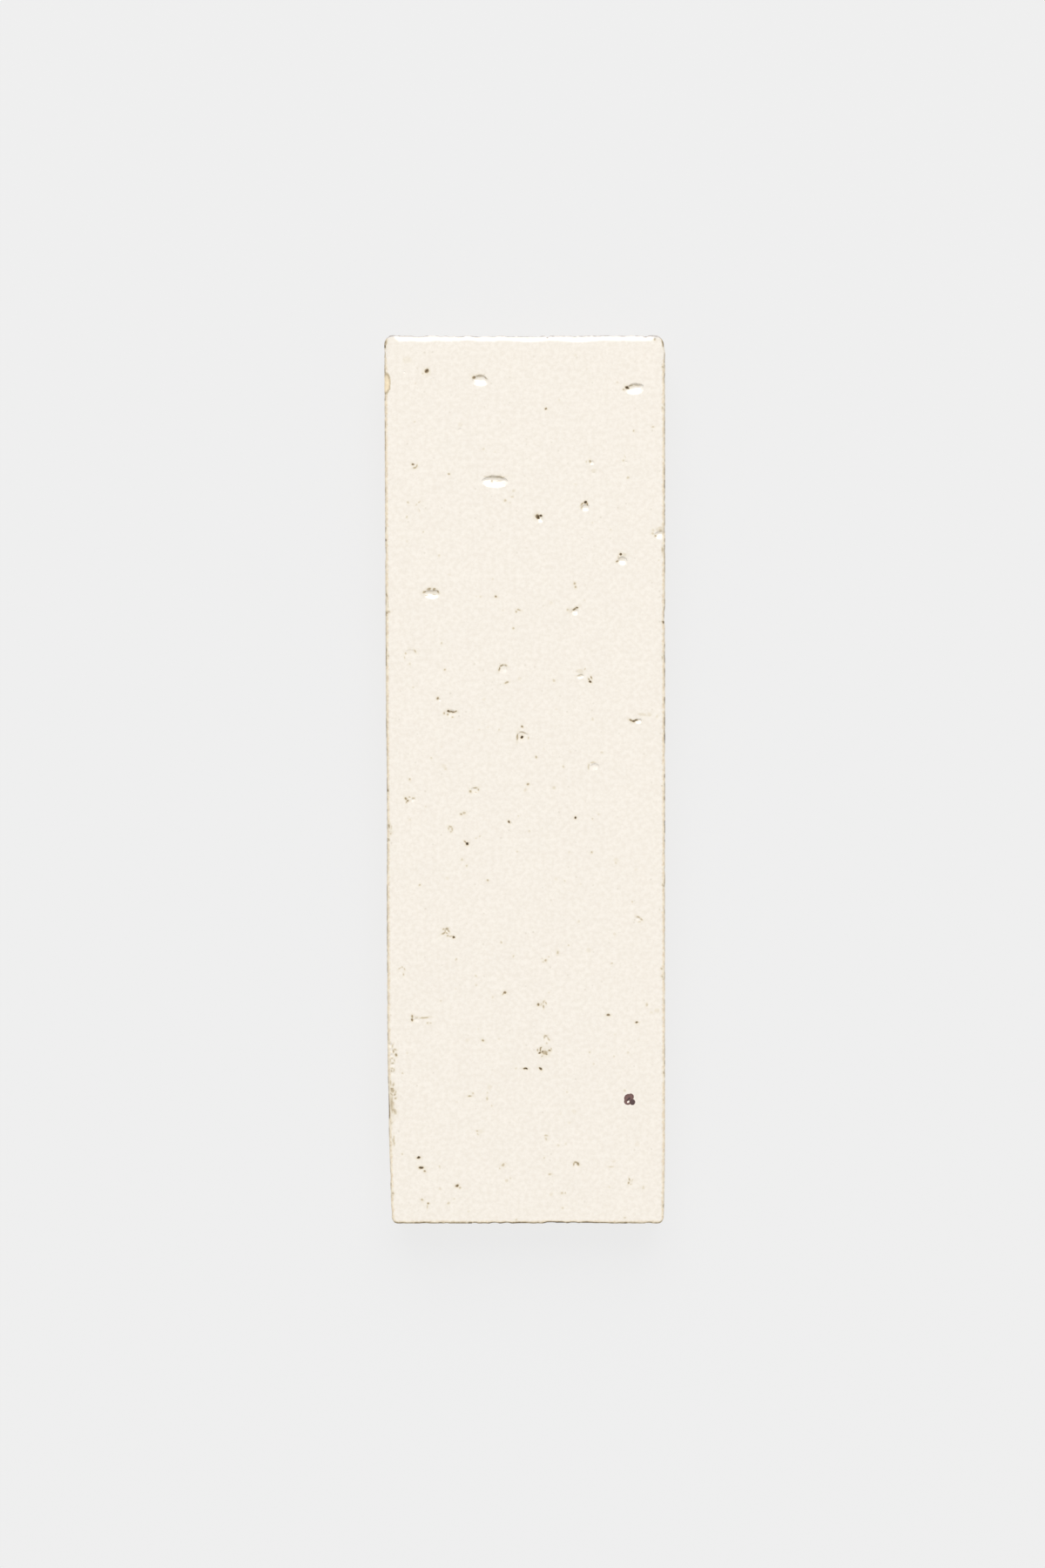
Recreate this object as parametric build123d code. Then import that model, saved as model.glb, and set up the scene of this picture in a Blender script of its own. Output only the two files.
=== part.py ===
"""A glazed thin brick tile: one fired clay slab, lying on its bonding back with its glazed face up.

Millimetres. +Z is up, out of the glazed face, and +Y runs along the tile towards its top end.
The origin is the middle of the bonding back.
"""

import os
from collections import namedtuple

from build123d import *

# Overall size of the unit
face_length = 190.5
face_width = 60.3
thickness = 12.7

# Edges: the glaze rolls over the face's edge, and the back's edge is only softened by handling
glaze_roll = 1.3
flat_corner_radius = 0.5
back_edge_radius = 0.6

# Near its foot the left long edge draws in, as a hand-pressed unit does
foot_taper = 1.2
foot_taper_length = 43.0

# A pit in the glaze is a round-bottomed dimple, longer across the tile than along it where the clay dragged.
# across and along place it as shares of the face's width and length from the middle of the face.
# length, width and depth are millimetres, and turn is the angle of its length from the tile's width, in degrees.
Pit = namedtuple("Pit", "across along length width depth turn")

face_pits = [
    Pit(-0.161, 0.450, 3.6, 2.4, 0.50, 0),
    Pit(0.385, 0.438, 4.6, 2.1, 0.50, 0),
    Pit(-0.107, 0.336, 5.6, 2.4, 0.60, 0),
    Pit(-0.392, 0.353, 1.3, 1.2, 0.25, 0),
    Pit(0.213, 0.310, 2.0, 1.9, 0.45, 0),
    Pit(0.051, 0.295, 2.0, 1.5, 0.45, 0),
    Pit(0.343, 0.247, 2.3, 2.0, 0.45, 90),
    Pit(-0.335, 0.211, 3.6, 2.2, 0.45, 0),
    Pit(0.179, 0.191, 2.2, 1.5, 0.40, 0),
    Pit(-0.079, 0.125, 2.3, 2.1, 0.35, 0),
    Pit(0.201, 0.122, 2.5, 2.2, 0.25, 0),
    Pit(0.235, 0.112, 1.7, 1.2, 0.35, 75),
    Pit(-0.262, 0.075, 2.6, 1.7, 0.35, -10),
    Pit(0.391, 0.067, 3.4, 1.4, 0.40, 0),
    Pit(-0.010, 0.047, 2.5, 2.3, 0.35, 0),
    Pit(0.247, 0.014, 2.7, 2.2, 0.35, 0),
    Pit(-0.179, -0.012, 2.1, 1.7, 0.25, 0),
    Pit(-0.408, -0.023, 2.4, 1.7, 0.35, 0),
    Pit(0.407, -0.158, 1.8, 1.4, 0.30, -30),
    Pit(-0.279, -0.172, 2.3, 1.8, 0.35, 0),
    Pit(0.064, -0.254, 2.6, 1.9, 0.30, 0),
    Pit(-0.392, -0.270, 4.8, 1.4, 0.30, 0),
    Pit(0.069, -0.307, 3.0, 2.1, 0.40, 0),
    Pit(-0.366, -0.438, 1.6, 1.2, 0.30, -20),
    Pit(0.185, -0.433, 1.8, 1.3, 0.25, 0),
    Pit(-0.345, -0.479, 1.9, 1.3, 0.30, 80),
]

# Places on the long edges where the glaze has broken away, or where a pit has opened through the roll
edge_chips = [
    Pit(-0.488, 0.445, 4.0, 2.6, 0.80, 90),
    Pit(-0.492, -0.309, 4.6, 1.8, 0.60, 90),
    Pit(-0.485, -0.362, 8.6, 2.4, 0.80, 88),
    Pit(0.488, 0.275, 3.2, 1.5, 0.50, 0),
]


def tile_outline():
    """The tile's outline seen from above: a rectangle whose left edge bends in to a narrower foot."""
    top = face_length / 2
    foot = -top
    side = face_width / 2
    taper_start = (-side, foot + foot_taper_length)
    foot_corner = (-side + foot_taper, foot)
    with BuildSketch() as sketch:
        with BuildLine():
            Polyline(foot_corner, (side, foot), (side, top), (-side, top), taper_start)
            TangentArc(taper_start, foot_corner, tangent=(0, -1))
        make_face()
        rows = sketch.vertices().group_by(Axis.Y)
        fillet(rows[0] + rows[-1], radius=glaze_roll + flat_corner_radius)
    return sketch.sketch


def slab():
    """The pressed slab with the glaze rolled over the face's edge and a soft edge round the back."""
    body = extrude(tile_outline(), amount=thickness)
    face = body.faces().sort_by(Axis.Z)[-1]
    body = fillet(face.edges(), radius=glaze_roll)
    back = body.faces().sort_by(Axis.Z)[0]
    return fillet(back.edges(), radius=back_edge_radius)


def pit_cutter(pit):
    """The round-ended bar, or ball, whose lower side leaves the pit in the face."""
    radius = (pit.width**2 / 4 + pit.depth**2) / (2 * pit.depth)
    half_straight = (pit.length - pit.width) / 2
    tip = half_straight + radius
    profile = make_face(
        Line((-tip, 0), (tip, 0))
        + CenterArc((half_straight, 0), radius, 0, 90)
        + Line((half_straight, radius), (-half_straight, radius))
        + CenterArc((-half_straight, 0), radius, 90, 90)
    )
    bar = revolve(profile, axis=Axis.X)
    place = Pos(pit.across * face_width, pit.along * face_length, thickness + radius - pit.depth)
    return place * Rot(0, 0, pit.turn) * bar


def thin_brick():
    return slab() - [pit_cutter(pit) for pit in face_pits + edge_chips]


os.makedirs("parts", exist_ok=True)
brick = thin_brick()
export_step(brick, "parts/thin_brick.step")
print("thin_brick", brick.bounding_box().size, "volume", round(brick.volume), "valid", brick.is_valid)
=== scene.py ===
"""A glazed thin brick tile, lying on its back with its pitted cream face up, in soft studio light.

The mesh is worked out in millimetres, in the frame's own axes, and written in metres.
"""

import math
from collections import namedtuple

import bpy
import numpy as np
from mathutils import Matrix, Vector
from mathutils.geometry import delaunay_2d_cdt


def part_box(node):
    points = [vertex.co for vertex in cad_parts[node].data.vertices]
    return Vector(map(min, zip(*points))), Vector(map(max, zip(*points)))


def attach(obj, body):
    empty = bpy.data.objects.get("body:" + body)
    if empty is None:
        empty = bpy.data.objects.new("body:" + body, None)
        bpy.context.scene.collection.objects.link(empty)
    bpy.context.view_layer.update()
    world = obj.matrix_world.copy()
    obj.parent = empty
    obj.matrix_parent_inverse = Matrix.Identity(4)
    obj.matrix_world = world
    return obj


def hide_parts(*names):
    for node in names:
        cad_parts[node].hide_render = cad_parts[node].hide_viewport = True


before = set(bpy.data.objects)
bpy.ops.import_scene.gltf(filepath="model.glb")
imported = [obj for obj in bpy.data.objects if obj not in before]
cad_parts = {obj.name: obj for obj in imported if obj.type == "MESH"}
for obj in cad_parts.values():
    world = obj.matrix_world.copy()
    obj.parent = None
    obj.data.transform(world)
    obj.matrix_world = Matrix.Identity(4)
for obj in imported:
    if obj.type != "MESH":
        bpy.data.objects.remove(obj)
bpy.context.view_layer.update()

# The tile's size, from the frame
mm = 0.001
lowest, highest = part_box("thin_brick")
half_width = (highest.x - lowest.x) / 2 / mm
half_length = (highest.y - lowest.y) / 2 / mm
thickness = (highest.z - lowest.z) / mm

# The photograph: its frame, the middle of the face in it, and the face's height there
photo_width_px = 1200
photo_height_px = 1800
face_middle_px = (602.5, 894.7)
face_height_px = 1020.8
px_per_mm = face_height_px / (2 * half_length)

# Edges of the tile. The glaze rolls over the face's edge in a quarter round, tighter at the foot, and at
# the top end in a longer slope. That slope starts at the first of its ends in from each corner and is
# whole at the second. The corners are tighter at the foot too.
corner_radius = 2.0
foot_corner_radius = 1.4
glaze_roll = 0.9
foot_roll = 0.45
top_roll = 1.7
top_roll_slope = math.radians(55)
top_roll_ends = (1.6, 4.2)
top_lip = 0.16
back_edge = 0.6

# The sides: how far they stand in from the outline, how far down them the glaze ends, on average and at
# its least and most, and how thick its end is
side_inset = 0.02
glaze_end_depth = 1.5
glaze_end_limits = (0.3, 2.8)
glaze_lip = 0.13

# The face lies this far below the top of its highest bead of iron
face_sink = 0.18

# How far each long edge draws in towards the foot: evenly over its length, and more over its last stretch
left_drift = 0.85
left_draw = 0.78
left_draw_length = 45.0
right_draw = 0.3
right_draw_length = 22.0

# Unevenness, as noise of a height and a period in millimetres
Wave = namedtuple("Wave", "height period seed")
face_waves = (Wave(0.03, 31.0, 1), Wave(0.02, 9.0, 2))
top_roll_waves = (Wave(0.24, 6.0, 3), Wave(0.12, 2.4, 9))
outline_waves = (Wave(0.04, 5.0, 11), Wave(0.06, 1.2, 12), Wave(0.05, 0.55, 13))
mark_waves = (Wave(0.08, 1.7, 6), Wave(0.10, 0.9, 4), Wave(0.05, 0.35, 5))
line_tone_waves = (Wave(0.14, 2.6, 31), Wave(0.22, 0.6, 32))
line_width_waves = (Wave(0.08, 1.9, 33), Wave(0.05, 0.7, 34))
glaze_end_waves = (Wave(0.8, 5.0, 41), Wave(0.4, 1.7, 42))
clay_waves = (Wave(0.05, 1.7, 21), Wave(0.03, 0.8, 22))

# The brown line along the outline: how dark and how wide it is on the long edges, at the top and at the
# foot. On the long edges it darkens towards the top. On the long edges it is glaze drawn thin; at the top
# end it is partly that and partly painted grey shade, and at the foot partly a painted shadow under the
# edge.
side_line_tone = 0.20
side_line_rise = 0.07
top_line_and_shade_tone = 0.30
foot_line_and_shadow_tone = 0.36
side_line_width = 0.31
top_line_and_shade_width = 0.38
foot_line_and_shadow_width = 0.46

# Spacing of the mesh: round the outline, and on the face from its finest to its plainest stretches
outline_spacing = 0.27
fine_spacing = 0.1
coarser_levels = 4
back_spacing = 0.8
back_levels = 3

# Marks on the face. px and py are the middle of a mark in the photograph, length and width are in its
# pixels, and turn is the angle of the length from the tile's width, in degrees.
# A pit is a scoop: it slopes down evenly from its lower rim to its floor, and a steep wall ends it at its
# upper rim. depth is in millimetres, and floor is where the floor begins, from -1 at the lower rim to 1 at
# the upper one.
Pit = namedtuple("Pit", "px py length width turn depth floor")

pits = [Pit(*row) for row in (
    (551.6, 436.6, 17.6, 12.8, 0, 0.36, 0.16), (729, 446.9, 22.4, 12.8, 9, 0.38, 0.24),
    (567.9, 553, 30, 14.2, -1, 0.44, 0.3), (527.8, 493.6, 5.5, 4.2, 0, 0.07, 0.3),
    (679.5, 531.6, 5, 5, 0, 0.12, 0.2), (672.2, 583.2, 9, 8.6, 0, 0.21, 0),
    (620.5, 595.8, 8, 9, 20, 0.28, 0.3), (758.4, 614.2, 14, 9.4, 4, 0.28, 0.22),
    (714.8, 644.4, 10.5, 10, -8, 0.27, 0.14), (495.5, 682.6, 18, 11, -4, 0.31, 0.15),
    (660.2, 702.8, 8.4, 7, 0, 0.2, 0.15), (470.7, 751, 14, 11, 0, 0.05, 0),
    (577.3, 768.3, 10, 10, 0, 0.13, -0.1), (666.9, 776.5, 8, 5, 15, 0.13, 0),
    (518.5, 819.5, 12, 9, 0, 0.12, 0), (733.5, 828, 8, 7, 0, 0.22, 0.3),
    (600, 846.5, 14, 12, 0, 0.14, 0), (683, 880.4, 9, 8, 0, 0.16, 0.2), (545.3, 908, 9, 8, 0, 0.1, 0),
    (475, 919, 6, 4.4, 10, 0.09, 0.2), (733, 1055.8, 6, 4.5, -20, 0.1, 0.1),
    (513.4, 1069.6, 4, 4, 0, 0.08, 0), (478.3, 1171.3, 6, 6, 0, 0.11, 0.2),
    (626.7, 1192.5, 5, 6, 0, 0.1, 0.2), (448.6, 1200.8, 4.4, 6, 0, 0.21, 0.4),
    (449.4, 1207, 4.6, 6, 0, 0.21, 0.4), (450, 1212.6, 4.4, 5, 0, 0.17, 0.4),
    (449.8, 1222.5, 5.5, 5, 0, 0.13, 0.3), (450.5, 1232.5, 5, 6, 0, 0.1, 0.2),
    (721.5, 1264.9, 3.4, 2.8, 30, 0.1, 0.4), (662.3, 1337.5, 8, 6, 0, 0.06, 0),
    (463.6, 427.6, 3.6, 3.4, 0, 0.06, 0.3), (718.6, 530.8, 3.4, 3.4, 0, 0.06, 0.3),
    (681.6, 543.4, 3.4, 2.8, 0, 0.05, 0.3), (668.6, 618.6, 3, 3, 0, 0.05, 0.3),
    (505.4, 803.6, 3.4, 3, 0, 0.08, 0.3), (587.4, 946.6, 3, 3, 0, 0.08, 0.3),
    (451, 1217.4, 3.4, 3.6, 0, 0.1, 0.2),
)]

# A spot is a dark mark: a mouth where the glaze never closed, a brown line along a rim, or a faint patch
# where the clay shows through. A brown line along a pit's upper rim is partly glaze drawn thin and partly
# painted shade of the wall under it. tone is how dark it is, in per cent.
Spot = namedtuple("Spot", "px py length width turn tone")

spots = [Spot(*row) for row in (
    (441.9, 397.6, 3, 3.8, 0, 95), (442.8, 393.2, 2.6, 6, -15, 52), (629, 387, 3.2, 2.8, 0, 36),
    (741.6, 386, 2.8, 2.6, 0, 58), (751.9, 389.4, 2.6, 2.6, 0, 42), (761.6, 393.4, 2.2, 9.5, 8, 62),
    (467, 413, 14, 10, 0, 10), (490, 426.1, 4.9, 4.9, 0, 80), (485.9, 428.3, 2.4, 2.2, 0, 22),
    (762.2, 421.6, 3, 2.4, 0, 40), (543.7, 432.9, 4.6, 3.6, 0, 64), (550.5, 431, 12.8, 2, -5, 24),
    (557.8, 433.2, 3.6, 1.6, -45, 28), (720.5, 444.6, 5.8, 3, -30, 82), (716.2, 447.1, 3.2, 2, 20, 36),
    (725, 442.6, 5.8, 2, 15, 28), (731.5, 442.2, 7, 1.6, 2, 22), (626.5, 468.8, 2.6, 2.6, 0, 70),
    (761.3, 468.2, 2.4, 3, 0, 30), (750.2, 490.2, 3.2, 2.2, 0, 28), (728, 494.5, 2.2, 2.2, 0, 30),
    (718.1, 524.3, 4.2, 1.8, -60, 16), (715.6, 528.6, 3, 2.6, 0, 20), (677.6, 529.8, 2, 3.6, 0, 38),
    (673.7, 530.1, 1.8, 4.2, 0, 17), (474.2, 532.9, 3.3, 2.7, 10, 66), (478.5, 534.4, 4.2, 1.8, 65, 38),
    (476.3, 536.6, 4.4, 2, 20, 40), (681.9, 540.5, 8, 6, 0, 12), (515.6, 544, 2.4, 2.4, 0, 40),
    (557.5, 546.6, 6, 2, 5, 18), (562.8, 547.1, 3.4, 2, 0, 26), (574, 547.1, 14.2, 2.2, 0, 26),
    (565, 552.5, 2.4, 2.8, 0, 36), (573.2, 551.9, 9, 1.3, 0, 26), (589.5, 563.7, 4.4, 4.4, 0, 14),
    (588.4, 570.1, 4.4, 2.8, 0, 17), (580, 574.1, 3, 3.2, 0, 28), (585.9, 576.9, 3, 2.6, 0, 14),
    (468.5, 576.8, 2.4, 2.4, 0, 24), (481.7, 576.4, 3.8, 1.8, 25, 22), (478.1, 579.6, 4.4, 2.2, 45, 16),
    (481, 585.7, 5.6, 1.8, -65, 16), (467.4, 592.9, 2.6, 2.4, 0, 20), (672.1, 576.4, 3.9, 3.6, 0, 90),
    (673.9, 578.6, 1.8, 3, 0, 60), (668.4, 578.4, 5.4, 1.9, 50, 44), (668.1, 582.5, 3.4, 1.9, 50, 38),
    (617.6, 593.1, 5.8, 5, 15, 78), (621.7, 591.7, 3.2, 2.4, 0, 100), (618.8, 594.4, 2.6, 2.2, 0, 96),
    (758.9, 608.7, 5.2, 3.6, 0, 28), (749.5, 612.6, 3.2, 2.2, 0, 26), (752.4, 615.1, 2.7, 2.5, 0, 46),
    (442.4, 620, 2.8, 3.4, 0, 95), (760.6, 631.4, 1.6, 7, 0, 44), (712.5, 636.6, 3.5, 3.3, 0, 86),
    (710, 640.2, 1.6, 4.5, 0, 26), (709.3, 644.1, 3.3, 2.3, 45, 56), (756.1, 642.9, 2.4, 2.4, 0, 17),
    (659.5, 670, 2.4, 2.8, 0, 40), (660.6, 673.6, 2.4, 2.6, 0, 42), (492.2, 676, 4.8, 2.9, 15, 50),
    (497.9, 676.7, 3.5, 2.7, 0, 46), (487.2, 679.6, 4.6, 2, 20, 44), (502.4, 679.8, 4.6, 2.3, -40, 36),
    (489.7, 683, 4.2, 1.3, 0, 26), (498.3, 682.2, 4.4, 1.3, -5, 28), (569.4, 684.7, 2.8, 2.8, 0, 58),
    (660.2, 699.1, 7.4, 2.6, 33, 54), (662.8, 697.5, 2.9, 2.7, 0, 80), (652.3, 699.7, 2.7, 2.3, 0, 28),
    (595.6, 699.9, 4.8, 1.7, -12, 36), (592.9, 702.3, 1.9, 2.3, 0, 38), (445.9, 702, 4.4, 2, 0, 36),
    (761.4, 714.2, 2.4, 4, 0, 92), (589.4, 720.9, 2.2, 2.2, 0, 36), (505.9, 738.8, 3.8, 1.9, 40, 20),
    (465.7, 750.3, 2.5, 2.9, 0, 22), (464.6, 754.9, 1.6, 2.9, 0, 22), (476.4, 747.4, 5, 1.9, -55, 30),
    (471.1, 762.4, 1.6, 2.7, 0, 22), (445.6, 752.5, 1.9, 2.7, 0, 46), (760.8, 754.6, 1.8, 3.6, 0, 36),
    (573, 767.4, 2, 5, -15, 54), (576, 763.6, 5, 1.8, 20, 48), (580.6, 763.6, 4, 1.7, -20, 42),
    (582, 783.7, 4.5, 2.1, 15, 44), (666.2, 770, 10, 8, 0, 13), (671.9, 767.6, 3, 1.6, 60, 26),
    (666.2, 775, 7.5, 1.4, 22, 28), (679.4, 778.3, 4.2, 1.6, -70, 64),
    (676.6, 780.4, 3.6, 1.6, -65, 52), (678.1, 782.9, 2.9, 2.7, 0, 90), (510.4, 769.5, 2.4, 2.2, 0, 34),
    (502.7, 801.7, 3, 3, 0, 56), (515.2, 816.4, 3.5, 2.9, 0, 78), (518.6, 817, 8.6, 2, -6, 76),
    (522.8, 816.8, 3.3, 1.8, 20, 62), (510.2, 818.8, 2.1, 2.5, 0, 36), (514.5, 819.9, 2.1, 2.5, 0, 38),
    (519.9, 823.1, 2.5, 2.1, 0, 34), (738, 820, 14, 4.5, -8, 14), (725, 826.8, 5.6, 2.3, -22, 68),
    (728.3, 827.8, 4.7, 3.1, 0, 86), (731, 826.6, 3.7, 2.3, 15, 78), (599.3, 834.3, 2.7, 2.7, 0, 68),
    (600.4, 841, 8, 1.3, -13, 36), (599.4, 846.1, 3.9, 3.7, 0, 100), (594.1, 845.9, 2, 8, -5, 52),
    (606.9, 847.4, 1.8, 3.8, 0, 24), (615.4, 869.3, 2.4, 2.4, 0, 38), (676.4, 880, 1.7, 7.2, -5, 24),
    (681, 875.2, 8, 1.7, 8, 22), (509.7, 879.4, 8, 6, 0, 12), (470.3, 894.8, 2.2, 2.2, 0, 36),
    (605.9, 900.7, 3, 2.8, 0, 46), (602.9, 906.6, 5, 5, 0, 14), (759.9, 902.3, 3.4, 2, 0, 20),
    (546.1, 904.1, 5.8, 1.6, 5, 40), (549.4, 906.6, 1.6, 3.2, 0, 34), (540.4, 908.4, 3.1, 3.5, 0, 40),
    (546.1, 909.8, 3.6, 1.4, -15, 24), (445.2, 907.2, 2.4, 3.8, 0, 70),
    (466.1, 916.4, 3.7, 2.3, -35, 54), (468.6, 918.9, 3.1, 2.7, 0, 64), (467.6, 921.1, 1.7, 2.5, 0, 38),
    (474.7, 916.1, 4.4, 2.7, 0, 28), (470.1, 914.8, 3, 1.9, 0, 28), (529.7, 934.7, 2.9, 2.9, 0, 42),
    (533.1, 933.3, 3.9, 3.7, 0, 30), (594.9, 936.9, 2.8, 2.4, 0, 17), (660.6, 938.9, 2.8, 2.7, 0, 94),
    (584.6, 943.6, 3.7, 2.5, -60, 84), (446.4, 963.6, 2.3, 3.1, 0, 52), (517, 949.1, 5, 1.9, 0, 32),
    (519.1, 951.6, 1.9, 4.6, 0, 34), (514.8, 951.2, 1.9, 3.6, 0, 27), (517.4, 954.4, 2.3, 2.3, 0, 27),
    (551.1, 959.8, 3.4, 2.4, 20, 17), (547.2, 962.3, 2.8, 2.4, 0, 17), (536.5, 968.6, 3.4, 3.7, 0, 97),
    (533.8, 966.7, 4, 1.5, -35, 58), (538.6, 967.3, 2, 1.3, 40, 36), (679.6, 978.5, 2.2, 2.2, 0, 34),
    (707.9, 987.5, 8, 7, 0, 11), (560.2, 1010.9, 2.4, 2.4, 0, 38), (482.5, 1015.4, 2.2, 2.2, 0, 34),
    (761.4, 1016.9, 1.8, 4, 0, 32), (733.3, 1053.1, 5.6, 1.6, -28, 35),
    (736.8, 1055.6, 3.5, 1.7, -60, 36), (734.2, 1057.8, 4, 1.5, 15, 22),
    (509.7, 1067.1, 3.1, 2.3, 0, 34), (513.3, 1066.7, 3.4, 2.7, 0, 48),
    (515.4, 1068.9, 4, 1.8, -60, 42), (509.7, 1072.1, 5.2, 1.9, 25, 44), (511.6, 1069.8, 1.9, 3, 0, 38),
    (513, 1071.7, 2.7, 1.8, 0, 40), (514.2, 1074.6, 2.9, 1.9, 0, 38), (517.4, 1075.1, 5, 1.4, -8, 30),
    (521.1, 1076.2, 3.3, 2.7, -15, 82), (675.5, 1090.9, 7, 6, 0, 11), (640.6, 1093.1, 2.7, 4.3, 0, 34),
    (626.4, 1102.8, 2.9, 2.9, 0, 38), (623.9, 1104.2, 2.6, 2, 0, 20), (622.1, 1100.3, 3, 1.8, 0, 17),
    (630.6, 1099.2, 2.7, 2, 0, 17), (759.6, 1112.4, 2.6, 2.3, 0, 42),
    (761.1, 1121.3, 3.8, 1.9, -25, 37), (459.2, 1112, 4.4, 1.7, 35, 24), (462, 1111, 3.6, 1.7, 0, 24),
    (464.6, 1112.8, 3.6, 1.7, -45, 26), (463.3, 1118.6, 1.6, 2.7, 0, 38),
    (580, 1139.6, 3.6, 3.4, 30, 64), (578.4, 1141.4, 3, 1.6, 45, 40), (630.4, 1139.9, 2.8, 2.4, 0, 16),
    (618.2, 1153.3, 2.9, 2.9, 0, 64), (621.4, 1153.1, 3, 4.2, 0, 18), (624.3, 1150.6, 4.4, 2.3, 60, 28),
    (627.1, 1152, 3.3, 1.6, -50, 34), (624.3, 1155.6, 1.9, 4.4, 8, 44),
    (742.6, 1153.1, 2.9, 3.3, 0, 26), (698.4, 1165.3, 3.9, 2.7, 0, 74), (731.7, 1174, 3.7, 2.8, 5, 72),
    (473.5, 1167.4, 2.5, 4.4, 0, 50), (473.1, 1171, 2.8, 3.3, 0, 66), (487, 1168.3, 10.8, 1.5, 4, 34),
    (478.5, 1167.8, 6, 1.5, 0, 18), (491.4, 1174.6, 2.7, 2.3, 0, 26), (494.6, 1174.6, 2.3, 2.3, 0, 20),
    (625.1, 1190.3, 1.8, 4.8, 0, 30), (626.9, 1189, 4.2, 1.8, 0, 34),
    (629.8, 1192.3, 4.4, 1.7, -55, 34), (628, 1197.3, 2.5, 2.7, 0, 22),
    (554.7, 1194.7, 3.2, 2.8, 0, 46), (625.9, 1208.2, 6.6, 5.8, 0, 42), (621, 1203.2, 3.3, 2.1, 45, 60),
    (620.4, 1205.6, 1.9, 4.4, 0, 56), (619.9, 1208.6, 3.9, 2.4, 10, 76),
    (617.3, 1205.2, 1.9, 3.2, 0, 42), (623.2, 1207.4, 3.5, 2.1, 25, 64), (627.3, 1210, 2.9, 2.5, 0, 58),
    (630.9, 1206, 3.3, 2.3, 0, 60), (632.9, 1204.1, 1.3, 2.4, 0, 38), (622.6, 1213, 3.2, 1.5, 40, 30),
    (447.4, 1196.8, 3, 1.6, 30, 24), (450.9, 1200.6, 1.6, 5, -30, 30), (453.6, 1205, 4, 2, -10, 32),
    (452, 1207.3, 2.5, 3.3, -20, 52), (454.8, 1211, 2.3, 4, 15, 50), (450.9, 1214.6, 4, 1.5, 0, 30),
    (450.9, 1220, 4, 1.5, 0, 30), (448.4, 1217.3, 1.5, 4, 0, 30), (453.4, 1217.3, 1.5, 4, 0, 30),
    (450.2, 1226.6, 4, 1.7, -20, 32), (452.2, 1228.6, 1.6, 4, -10, 30),
    (448.8, 1229.8, 2.1, 2.7, 0, 44), (603, 1227.1, 5.5, 2.5, 5, 80), (604.7, 1227, 2.7, 2.3, 0, 97),
    (620.3, 1226.9, 4.5, 2.8, -25, 96), (762.4, 1231.3, 2.4, 2.8, 0, 44), (447.8, 1243, 1.9, 6, 0, 36),
    (451, 1245, 1.9, 5, -20, 36), (453.4, 1256.2, 3, 2.1, 30, 44), (454.5, 1260.3, 2.5, 2.5, 0, 34),
    (449.9, 1288.8, 4.6, 1.4, 45, 32), (539.4, 1258.3, 4.5, 2.1, 0, 42),
    (542.6, 1255.2, 3.8, 1.9, -30, 24), (559.5, 1253.9, 1.6, 2.8, 0, 18),
    (559.3, 1261.4, 2.1, 4.3, 0, 28), (565, 1270, 1.9, 2.3, 0, 24), (658.8, 1275.5, 8, 6, 0, 11),
    (548.1, 1299.1, 3, 2.4, 0, 30), (548.4, 1302.4, 3, 1.7, -20, 22), (627.6, 1303.4, 4.4, 2.3, 0, 24),
    (627.6, 1307.3, 2.3, 4.3, 0, 22), (452.2, 1309.5, 1.7, 12, 0, 27), (480.6, 1329.4, 4.8, 3, 10, 92),
    (484, 1340.5, 6.6, 3, -8, 88), (488.3, 1344.8, 2.4, 2.6, 0, 54), (659, 1336.4, 3.7, 1.8, 60, 44),
    (661, 1334.5, 4.3, 1.9, 5, 46), (663.8, 1336.1, 3.9, 2.3, -40, 60),
    (577.9, 1337.1, 4.4, 3.6, 20, 30), (573.6, 1341.4, 2.3, 2.3, 0, 22),
    (701.9, 1339.4, 8.6, 2.3, 0, 17), (704.7, 1332.9, 7, 3.6, 0, 11), (631.7, 1348, 3.8, 2.3, 0, 27),
    (722.9, 1354, 1.8, 3.7, 10, 46), (721.6, 1357.6, 1.9, 3.1, -5, 46),
    (724.4, 1359.4, 2.1, 2.1, 0, 28), (726.2, 1355.1, 6, 1.3, 60, 18), (581.6, 1355.7, 5, 4, 0, 15),
    (738.7, 1363.3, 3.6, 5.6, 0, 16), (525.3, 1361.2, 4, 3.2, 20, 70), (528.1, 1363.6, 2.4, 2.4, 0, 32),
    (451.8, 1369.9, 2.8, 2.5, 0, 52), (645.9, 1369.8, 3.6, 2.5, 0, 24),
    (649.1, 1369.8, 2.4, 2.4, 0, 20), (633.5, 1371, 6, 5, 0, 12), (521.4, 1376.4, 3, 1.7, -10, 24),
    (515.3, 1381.3, 4, 2.8, 45, 22), (484.6, 1377.9, 3.3, 2.1, -20, 38),
    (491.7, 1381.9, 2.7, 2.3, 0, 54), (490.7, 1385.4, 1.6, 5.6, 0, 24),
    (761.9, 1384.6, 2.2, 2.8, 0, 48), (646.1, 1386.6, 3.4, 3.6, 0, 17),
    (443.6, 682.6, 5.5, 1.8, 107, 62), (445.7, 693.5, 17, 1.4, 100, 22),
    (444.2, 703.2, 2.4, 2.6, 0, 60), (444, 706.6, 1.6, 3, 0, 40), (446.4, 702.9, 4.2, 1.5, 15, 30),
    (446.2, 948.2, 2.4, 4.4, 0, 52), (449.2, 949.6, 11.5, 1.5, 105, 20), (448.9, 957.4, 5, 1.7, 45, 32),
    (448.3, 952.5, 3.6, 9, 0, 12), (449.4, 1249.6, 4.6, 2.4, 0, 50), (450.4, 1252.2, 5.2, 4.8, 0, 38),
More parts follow.
